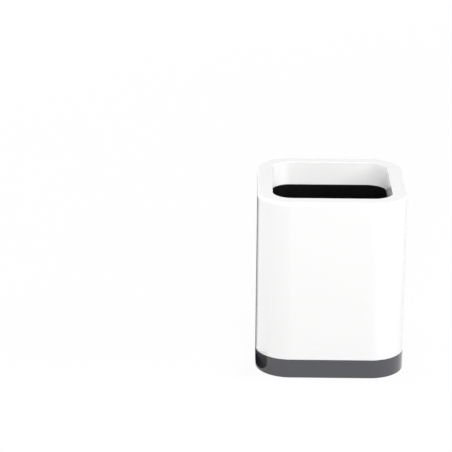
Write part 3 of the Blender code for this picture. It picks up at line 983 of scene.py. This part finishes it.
class ShaderGroups:
    """The node groups that the materials share."""

    def __init__(self, outline, sleeve):
        self.ripple = ripple_group()
        self.hairlines = hairline_group()
        self.handling = handling_group()
        self.dust = dust_group()
        self.edge_rub = edge_rub_group()
        self.flow = flow_group()
        self.mouth = mouth_group(outline, sleeve)


# Materials

def mix_colour(tree, factor, first, second):
    """One colour over another."""
    node = add(tree, "ShaderNodeMix", data_type='RGBA')
    # The sockets for colours come after those for numbers and vectors
    for place, value in ((0, factor), (6, first), (7, second)):
        feed(tree, node.inputs[place], value)
    return node.outputs[2]


def new_material(name):
    """A material with its own Principled shader, its tree and the shader's inputs."""
    material = bpy.data.materials.new(name)
    material.use_nodes = True
    tree = material.node_tree
    return material, tree, tree.nodes["Principled BSDF"].inputs


def bump(tree, height, distance, normal=None):
    """Relief of a given depth, over another relief if one is given."""
    inputs = {"Height": height, "Distance": distance, "Strength": 1}
    if normal is not None:
        inputs["Normal"] = normal
    return add(tree, "ShaderNodeBump", inputs).outputs["Normal"]


def moulded_plastic(name, groups, finish, paint, roughness, amounts, edge_heights):
    """Polished moulded plastic: clouded colour, ripple, film, hairlines, rubbed edges and dust."""
    material, tree, shader = new_material(name)
    dust_colour = (*finish.dust_colour, 1)
    cloudy = use(tree, groups.flow, {"Colour": (*paint, 1), "Depth": amounts["cloud"]})
    dust = use(tree, groups.dust, {"Speck Size": finish.speck_size, "Amount": amounts["dust"]})
    film = use(tree, groups.handling, {"Amount": amounts["film"]})
    lines = use(tree, groups.hairlines, {"Scratch Width": finish.scratch_width, "Amount": amounts["lines"]})
    rubbed = 0
    for height in edge_heights:
        mask = use(tree, groups.edge_rub, {
            "Edge Height": height, "Reach": finish.rub_reach, "Amount": amounts["rub"]})
        rubbed = math_node(tree, 'MAXIMUM', mask, rubbed)
    paled = mix_colour(tree, product(tree, rubbed, amounts["pale"]), cloudy, dust_colour)
    dusty = mix_colour(tree, product(tree, dust, DUST_COVER), paled, dust_colour)
    feed(tree, shader["Base Color"], dusty)
    marks = {"film": film, "lines": lines, "rub": rubbed, "dust": dust}
    for kind, weight in ROUGHENING.items():
        roughness = math_node(tree, 'ADD', roughness, product(tree, marks[kind], weight))
    feed(tree, shader["Roughness"], roughness)
    relief = bump(tree, use(tree, groups.ripple, {"Ripple Size": finish.ripple_size}), amounts["ripple"])
    fine = math_node(tree, 'SUBTRACT', dust, lines)
    feed(tree, shader["Normal"], bump(tree, fine, finish.fine_relief, relief))
    feed(tree, shader["IOR"], PLASTIC_IOR)
    return material, tree, shader


def white_material(groups, finish, outline):
    """The sleeve's gloss white plastic. Its coat is left off inside the mouth."""
    rim_edge = outline.height - 1 * MM
    material, tree, shader = moulded_plastic(
        "white_gloss_plastic", groups, finish, finish.sleeve_colour, roughness=0.06,
        amounts={"cloud": 0.012, "dust": 0.03, "film": 0.35, "lines": 0.30, "rub": 0.35,
                 "pale": 0.05, "ripple": 0.006 * MM},
        edge_heights=(outline.base_top, rim_edge))
    feed(tree, shader["Coat Weight"], math_node(tree, 'SUBTRACT', 1, use(tree, groups.mouth, {})))
    feed(tree, shader["Coat Roughness"], 0.02)
    arrange(tree)
    return material


def liner_material_with_shade(groups, finish, outline):
    """The liner's dark plastic, with a finish a little softer than the sleeve's. Its colour is set near
    black, darker than the plastic itself, so that it also carries painted shade from deep in the cup.
    """
    below_skirt = outline.height - 15 * MM
    material, tree, _ = moulded_plastic(
        "black_gloss_plastic", groups, finish, finish.liner_colour_with_shade, roughness=0.30,
        amounts={"cloud": 0.05, "dust": 0.05, "film": 0.5, "lines": 0.6, "rub": 0.3,
                 "pale": 0.02, "ripple": 0.008 * MM},
        edge_heights=(below_skirt,))
    arrange(tree)
    return material


def grey_material(groups, finish, outline):
    """The base's dark grey plastic."""
    material, tree, shader = moulded_plastic(
        "dark_grey_plastic", groups, finish, finish.base_colour, roughness=0.12,
        amounts={"cloud": 0.05, "dust": 0.05, "film": 0.5, "lines": 0.5, "rub": 0.5,
                 "pale": 0.08, "ripple": 0.006 * MM},
        edge_heights=(outline.base_top, BASE_LOW.z))
    feed(tree, shader["Coat Weight"], 0.6)
    feed(tree, shader["Coat Roughness"], 0.04)
    arrange(tree)
    return material


def rubber_material(groups, finish):
    """The feet's matt rubber, with the fine grain of its mould."""
    material, tree, shader = new_material("black_rubber")
    grain = noise(tree, object_place(tree), scale=5200, detail=2, roughness=0.6)
    cloudy = use(tree, groups.flow, {"Colour": (*finish.rubber_colour, 1), "Depth": 0.12})
    dust = use(tree, groups.dust, {"Speck Size": finish.speck_size, "Amount": 0.3})
    film = use(tree, groups.handling, {"Patch Size": 2 * MM, "Amount": 0.4})
    bloom = math_node(tree, 'ADD', product(tree, dust, 0.5), product(tree, film, 0.04))
    feed(tree, shader["Base Color"], mix_colour(tree, bloom, cloudy, (*finish.dust_colour, 1)))
    feed(tree, shader["Roughness"], math_node(tree, 'ADD', 0.72, product(tree, grain, 0.16)))
    feed(tree, shader["Normal"], bump(tree, grain, 0.02 * MM))
    arrange(tree)
    return material


# Building a piece

def new_object(name, data):
    """Make an object and link it to the scene."""
    made = bpy.data.objects.new(name, data)
    bpy.context.scene.collection.objects.link(made)
    return made


def section_object(name, corners, cyclic=True):
    """A flat curve of straight lines whose points carry the rounding of their corners."""
    data = bpy.data.curves.new(name, 'CURVE')
    data.dimensions = '2D'
    spline = data.splines.new('POLY')
    spline.points.add(len(corners) - 1)
    for point, (inset, height, rounding) in zip(spline.points, corners):
        point.co = (inset, height, 0, 1)
        point.radius = rounding
    spline.use_cyclic_u = cyclic
    return new_object(name, data)


def set_input(modifier, name, value):
    """Give one of a modifier's inputs its value, by the socket's identifier."""
    for item in modifier.node_group.interface.items_tree:
        if item.item_type == 'SOCKET' and item.in_out == 'INPUT' and item.name == name:
            modifier[item.identifier] = value
            return
    raise KeyError(f"{modifier.node_group.name} has no input named {name}")


def make_piece(name, tree, values):
    """Evaluate a node tree into a plain mesh with even normals, as an object of its own.

    The curves among its values only shape it, and are removed at the end.
    """
    piece = new_object(name, bpy.data.meshes.new(name + "_start"))
    built = piece.modifiers.new("moulding", 'NODES')
    built.node_group = tree
    for label, value in values.items():
        set_input(built, label, value)
    even = piece.modifiers.new("even_normals", 'WEIGHTED_NORMAL')
    even.keep_sharp = True
    bpy.context.view_layer.update()
    depsgraph = bpy.context.evaluated_depsgraph_get()
    mesh = bpy.data.meshes.new_from_object(piece.evaluated_get(depsgraph), preserve_all_data_layers=True,
                                           depsgraph=depsgraph)
    mesh.name = name
    if not mesh.polygons:
        raise RuntimeError(f"{name} came out empty")
    piece.modifiers.clear()
    piece.data = mesh
    for value in values.values():
        if isinstance(value, bpy.types.Object):
            bpy.data.objects.remove(value)
    return piece


def finish_piece(piece, nodes):
    """Let the piece stand for its solids, which are hidden, and put it on the one body."""
    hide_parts(*nodes)
    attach(piece, "root")


class Workshop:
    """Node groups that are made once and used by every operator."""

    geometry_groups = None
    shader_groups = None

    @classmethod
    def geometry(cls):
        """The shared geometry groups, made at the first call."""
        if cls.geometry_groups is None:
            cls.geometry_groups = GeometryGroups()
        return cls.geometry_groups

    @classmethod
    def shaders(cls):
        """The shared shader groups, made at the first call."""
        if cls.shader_groups is None:
            scene = bpy.context.scene
            cls.shader_groups = ShaderGroups(scene.pen_holder_outline, scene.pen_holder_sleeve)
        return cls.shader_groups


def outline_values(outline):
    """The inputs that every swept moulding has."""
    return {"Width": outline.width, "Corner Radius": outline.corner_radius,
            "Corner Steps": outline.corner_steps}


# Operators

class PENHOLDER_OT_make_sleeve(bpy.types.Operator):
    """Make the white sleeve with its rim, skirt, webs and snap pockets"""

    bl_idname = "penholder.make_sleeve"
    bl_label = "Make sleeve"

    def execute(self, context):
        scene = context.scene
        outline, sleeve, base = scene.pen_holder_outline, scene.pen_holder_sleeve, scene.pen_holder_base
        piece = make_piece("white_sleeve", sleeve_tree(Workshop.geometry()), {
            "Section": section_object("sleeve_section", sleeve_section(outline, sleeve)),
            "Web": section_object("web_outline", web_outline(outline, sleeve)),
            "Pocket": section_object("pocket_outline", pocket_outline(outline, sleeve, base)),
            **outline_values(outline),
            "Web Thickness": sleeve.web_thickness, "Web Spacing": sleeve.web_spacing,
            "Pocket Width": base.snap_width + 2 * base.spigot_gap,
            "Material": white_material(Workshop.shaders(), scene.pen_holder_finish, outline),
        })
        finish_piece(piece, ["sleeve"])
        return {'FINISHED'}


class PENHOLDER_OT_make_liner(bpy.types.Operator):
    """Make the black liner, the cup that the pens stand in"""

    bl_idname = "penholder.make_liner"
    bl_label = "Make liner"

    def execute(self, context):
        scene = context.scene
        outline, liner = scene.pen_holder_outline, scene.pen_holder_liner
        corners = liner_section(outline, scene.pen_holder_sleeve, liner)
        floor_top = liner.bottom + liner.floor
        piece = make_piece("black_liner", liner_tree(Workshop.geometry()), {
            "Section": section_object("liner_section", corners, cyclic=False),
            **outline_values(outline),
            "Gate Radius": liner.gate_radius, "Gate Bottom": floor_top - liner.gate_depth,
            "Gate Top": floor_top + OVERRUN,
            "Material": liner_material_with_shade(Workshop.shaders(), scene.pen_holder_finish, outline),
        })
        finish_piece(piece, ["liner"])
        return {'FINISHED'}


class PENHOLDER_OT_make_base(bpy.types.Operator):
    """Make the dark grey base with its ribs, snap tongues and foot recesses"""

    bl_idname = "penholder.make_base"
    bl_label = "Make base"

    def execute(self, context):
        scene = context.scene
        outline, sleeve, feet = scene.pen_holder_outline, scene.pen_holder_sleeve, scene.pen_holder_feet
        base, liner = scene.pen_holder_base, scene.pen_holder_liner
        corners = base_section(outline, sleeve, base)
        piece = make_piece("grey_base", base_tree(Workshop.geometry()), {
            "Section": section_object("base_section", corners, cyclic=False),
            "Rib": section_object("rib_outline", rib_outline(outline, sleeve, base, liner)),
            "Nib": section_object("nib_outline", nib_outline(outline, sleeve, base)),
            "Slot": section_object("slot_outline", slot_outline(outline, sleeve, base)),
            **outline_values(outline),
            "Rib Thickness": base.rib_thickness, "Rib Spacing": base.rib_spacing,
            "Nib Width": base.snap_width - 2 * base.nib_margin,
            "Slot Width": base.snap_slot, "Slot Spacing": base.snap_width + base.snap_slot,
            "Foot Spacing": feet.spacing, "Recess Radius": feet.radius + feet.recess_gap,
            "Recess Bottom": base.bottom - OVERRUN, "Recess Top": feet.top + feet.recess_gap,
            "Boss Wall": base.boss_wall, "Floor Middle": base.bottom + base.floor / 2,
            "Pin Radius": base.pin_radius, "Pin Top": base.bottom + base.pin_depth,
            "Pin Spacing": base.pin_spacing,
            "Material": grey_material(Workshop.shaders(), scene.pen_holder_finish, outline),
        })
        finish_piece(piece, ["base"])
        return {'FINISHED'}


class PENHOLDER_OT_make_feet(bpy.types.Operator):
    """Make the four rubber feet"""

    bl_idname = "penholder.make_feet"
    bl_label = "Make feet"

    def execute(self, context):
        scene = context.scene
        feet = scene.pen_holder_feet
        piece = make_piece("rubber_feet", feet_tree(Workshop.geometry()), {
            "Section": section_object("foot_section", foot_section(feet), cyclic=False),
            "Width": 2 * feet.radius, "Corner Radius": feet.radius,
            "Corner Steps": feet.corner_steps, "Foot Spacing": feet.spacing,
            "Material": rubber_material(Workshop.shaders(), scene.pen_holder_finish),
        })
        finish_piece(piece, [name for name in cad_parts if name.startswith("foot_")])
        return {'FINISHED'}


# Stage

def blank_tree(owner):
    """Give a material or a world an empty node tree."""
    owner.use_nodes = True
    owner.node_tree.nodes.clear()
    return owner.node_tree


def mix_shaders(tree, factor, first, second):
    """The first shader where the factor is 0, and the second where it is 1."""
    node = tree.nodes.new("ShaderNodeMixShader")
    feed_in_order(tree, node, [factor, first, second])
    return node.outputs["Shader"]


def seen_directly(tree):
    """1 for rays that show the backdrop itself, straight or in a reflection or glass."""
    path = tree.nodes.new("ShaderNodeLightPath").outputs
    mirrored = math_node(tree, 'MAXIMUM', path["Is Glossy Ray"], path["Is Transmission Ray"])
    return math_node(tree, 'MAXIMUM', path["Is Camera Ray"], mirrored)


def make_world(stage):
    """Even light for the object, and plain white where the backdrop shows."""
    world = bpy.data.worlds.new("studio")
    tree = blank_tree(world)
    light, white = [add(tree, "ShaderNodeBackground", {"Color": WHITE, "Strength": strength})
                    for strength in (stage.room, 1)]
    mixed = mix_shaders(tree, seen_directly(tree), light.outputs["Background"], white.outputs["Background"])
    add(tree, "ShaderNodeOutputWorld", {"Surface": mixed})
    arrange(tree)
    bpy.context.scene.world = world


def sheet_object(name, points, faces, material):
    """A mesh object from its points and faces, with one material."""
    mesh = bpy.data.meshes.new(name)
    mesh.from_pydata(points, [], faces)
    mesh.materials.append(material)
    return new_object(name, mesh)


def make_floor(stage):
    """A wide pale table top that keeps the holder's shadow."""
    material = bpy.data.materials.new("pale_table")
    tree = blank_tree(material)
    seen = seen_directly(tree)
    shade = mix_colour(tree, seen, (*stage.floor_colour, 1), (*stage.floor_seen, 1))
    paint = add(tree, "ShaderNodeBsdfDiffuse", {"Color": shade}).outputs["BSDF"]
    white = add(tree, "ShaderNodeEmission", {"Color": WHITE, "Strength": 1}).outputs["Emission"]
    mixed = mix_shaders(tree, product(tree, seen, stage.floor_white), paint, white)
    add(tree, "ShaderNodeOutputMaterial", {"Surface": mixed})
    arrange(tree)
    reach = stage.floor_reach
    floor = sheet_object("table", rectangle(-reach, reach, -reach, reach), [(0, 1, 2, 3)], material)


# Where each black card runs, as points to the right of its plane and towards the back, and the
# depths at which it starts to show, is solid, starts to fade and is clear again. The cards paint dark
# reflections and shade that stand in for the table's shade at the holder's left.
EDGE_LINE = ((0, -27 * MM), (0, 36 * MM))
EDGE_FADE = (-26.5 * MM, -23.5 * MM, 4 * MM, 36 * MM)
FOOT_LINE = ((-0.2 * MM, -24 * MM), (-0.2 * MM, 14 * MM))
FOOT_FADE = (-24 * MM, -22 * MM, -8 * MM, 14 * MM)
CORNER_LINE = ((-7 * MM, -43 * MM), (0.5 * MM, -33 * MM), (0, -26 * MM), (0, 36 * MM))
CORNER_FADE = (-45 * MM, -43 * MM, -24 * MM, 4 * MM)
# A card's reflection fades out between its reach and this many times its reach
REACH_END = 1.2


def make_painted_shade_card(name, side, line, heights, fade, reach=None, shade_only=False):
    """An upright black card, out of the camera's sight, that paints a dark reflection in the gloss.

    It stands in for shade on the table. With a reach, only what is nearer than that reflects it. A card for
    shade only is not reflected, and casts a painted shade instead.
    """
    material = bpy.data.materials.new(name)
    tree = blank_tree(material)
    depth = separate(tree, object_place(tree))["Y"]
    start, solid_from, solid_to, end = fade
    solid = product(tree, ramp(tree, depth, start, solid_from), ramp(tree, depth, end, solid_to))
    if reach:
        travelled = tree.nodes.new("ShaderNodeLightPath").outputs["Ray Length"]
        solid = product(tree, solid, ramp(tree, travelled, reach * REACH_END, reach))
    clear = tree.nodes.new("ShaderNodeBsdfTransparent").outputs["BSDF"]
    # Black where the card is solid: a painted dark reflection, or for a shade card a painted shade
    black = add(tree, "ShaderNodeBsdfDiffuse", {"Color": (0, 0, 0, 1)}).outputs["BSDF"]
    add(tree, "ShaderNodeOutputMaterial", {"Surface": mix_shaders(tree, solid, clear, black)})
    arrange(tree)
    points = [(side + x, y, z) for z in heights for x, y in line]
    turns = len(line)
    faces = [(n, n + 1, n + 1 + turns, n + turns) for n in range(turns - 1)]
    card = sheet_object(name, points, faces, material)
    card.visible_camera = False
    card.visible_transmission = False
    card.visible_glossy = not shade_only
    card.visible_diffuse = shade_only
    card.visible_shadow = shade_only


def make_painted_shade_cards(stage):
    """Black cards that stand in for the table's shade at the left: tall ones paint the white's dark left
    edge as a reflection, and low ones paint a dark reflection and shade at the base's left corner.
    """
    side = -HALF_WIDTH - stage.card_gap
    make_painted_shade_card("edge_card", side, EDGE_LINE, (SLEEVE_LOW.z, stage.tall_card), EDGE_FADE)
    make_painted_shade_card("edge_foot_card", side, FOOT_LINE, (0, SLEEVE_LOW.z), FOOT_FADE)
    make_painted_shade_card("corner_card", side, CORNER_LINE, (0, stage.low_card), CORNER_FADE, reach=stage.card_reach)
    make_painted_shade_card("shade_card", side, CORNER_LINE, (0, stage.shade_card), CORNER_FADE, shade_only=True)


# Where each lamp stands in degrees from the front towards the right and over the table, how wide
# and high it is, and whether the gloss shows it
LAMPS = {
    "key": (40, 24, 1.1, 0.7, True),
    "front": (0, 30, 0.8, 0.8, False),
    "right": (82, 28, 0.6, 0.6, True),
    "left": (-90, 15, 1.1, 1.1, False),
    "back": (180, 9, 1.1, 0.45, False),
    "back_left": (-125, 15, 1.1, 0.8, False),
}


def direction(azimuth, elevation):
    """The unit vector from the object towards something at that azimuth and elevation."""
    flat = math.cos(elevation)
    return Vector((math.sin(azimuth) * flat, -math.cos(azimuth) * flat, math.sin(elevation)))


def make_lamp(name, stage, middle):
    """A large soft lamp that faces the middle of the holder."""
    azimuth, elevation, width, height, in_gloss = LAMPS[name]
    data = bpy.data.lights.new(name + "_lamp", 'AREA')
    data.shape = 'RECTANGLE'
    data.size = width
    data.size_y = height
    data.energy = getattr(stage, name)
    lamp = new_object(name + "_lamp", data)
    back = direction(math.radians(azimuth), math.radians(elevation))
    lamp.location = middle + back * stage.lamp_distance
    lamp.rotation_euler = back.to_track_quat('Z', 'Y').to_euler()
    lamp.visible_glossy = in_gloss


def make_camera(stage):
    """The camera at the photograph's viewing angle."""
    data = bpy.data.cameras.new("camera")
    data.sensor_width = 36
    data.lens = stage.lens
    data.clip_start = 0.01
    data.clip_end = 20
    back = direction(stage.azimuth, stage.elevation)
    right = Vector((math.cos(stage.azimuth), math.sin(stage.azimuth), 0))
    up = back.cross(right)
    turned_right = right * math.cos(stage.roll) + up * math.sin(stage.roll)
    turned_up = back.cross(turned_right)
    axes = Matrix((turned_right, turned_up, back)).transposed().to_4x4()
    camera = new_object("camera", data)
    camera.matrix_world = Matrix.Translation(Vector(stage.aim) + back * stage.distance) @ axes
    bpy.context.scene.camera = camera


class PENHOLDER_OT_make_stage(bpy.types.Operator):
    """Make the camera, the pale table and the soft studio light"""

    bl_idname = "penholder.make_stage"
    bl_label = "Make stage"

    def execute(self, context):
        stage = context.scene.pen_holder_stage
        middle = (cad_box[0] + cad_box[1]) / 2
        make_camera(stage)
        make_world(stage)
        make_floor(stage)
        make_painted_shade_cards(stage)
        for name in LAMPS:
            make_lamp(name, stage, middle)
        context.scene.view_settings.view_transform = 'Standard'
        return {'FINISHED'}


# Registration

PROPERTY_GROUPS = {
    "pen_holder_outline": PenHolderOutline,
    "pen_holder_sleeve": PenHolderSleeve,
    "pen_holder_liner": PenHolderLiner,
    "pen_holder_base": PenHolderBase,
    "pen_holder_feet": PenHolderFeet,
    "pen_holder_finish": PenHolderFinish,
    "pen_holder_stage": PenHolderStage,
}

OPERATORS = (
    PENHOLDER_OT_make_sleeve,
    PENHOLDER_OT_make_liner,
    PENHOLDER_OT_make_base,
    PENHOLDER_OT_make_feet,
    PENHOLDER_OT_make_stage,
)


class PENHOLDER_PT_panel(bpy.types.Panel):
    """Sizes, finish and stage of the pen holder"""

    bl_idname = "PENHOLDER_PT_panel"
    bl_label = "Pen holder"
    bl_space_type = 'VIEW_3D'
    bl_region_type = 'UI'
    bl_category = "Pen holder"

    def draw(self, context):
        for operator in OPERATORS:
            self.layout.operator(operator.bl_idname)
        for name, kind in PROPERTY_GROUPS.items():
            box = self.layout.box()
            box.label(text=name.rpartition("_")[2].capitalize())
            for item in kind.__annotations__:
                box.prop(getattr(context.scene, name), item)


def register():
    """Add the classes and the scene's properties."""
    for name, group in PROPERTY_GROUPS.items():
        bpy.utils.register_class(group)
        setattr(bpy.types.Scene, name, PointerProperty(type=group))
    for operator in OPERATORS:
        bpy.utils.register_class(operator)
    bpy.utils.register_class(PENHOLDER_PT_panel)


def unregister():
    """Remove them again, last first."""
    bpy.utils.unregister_class(PENHOLDER_PT_panel)
    for operator in reversed(OPERATORS):
        bpy.utils.unregister_class(operator)
    for name, group in reversed(PROPERTY_GROUPS.items()):
        delattr(bpy.types.Scene, name)
        bpy.utils.unregister_class(group)


def write_sizes():
    """Bring the view layer up to date."""
    bpy.context.view_layer.update()


def main():
    """Register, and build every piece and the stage."""
    register()
    bpy.ops.penholder.make_sleeve()
    bpy.ops.penholder.make_liner()
    bpy.ops.penholder.make_base()
    bpy.ops.penholder.make_feet()
    bpy.ops.penholder.make_stage()
    write_sizes()


if __name__ == "__main__":
    main()
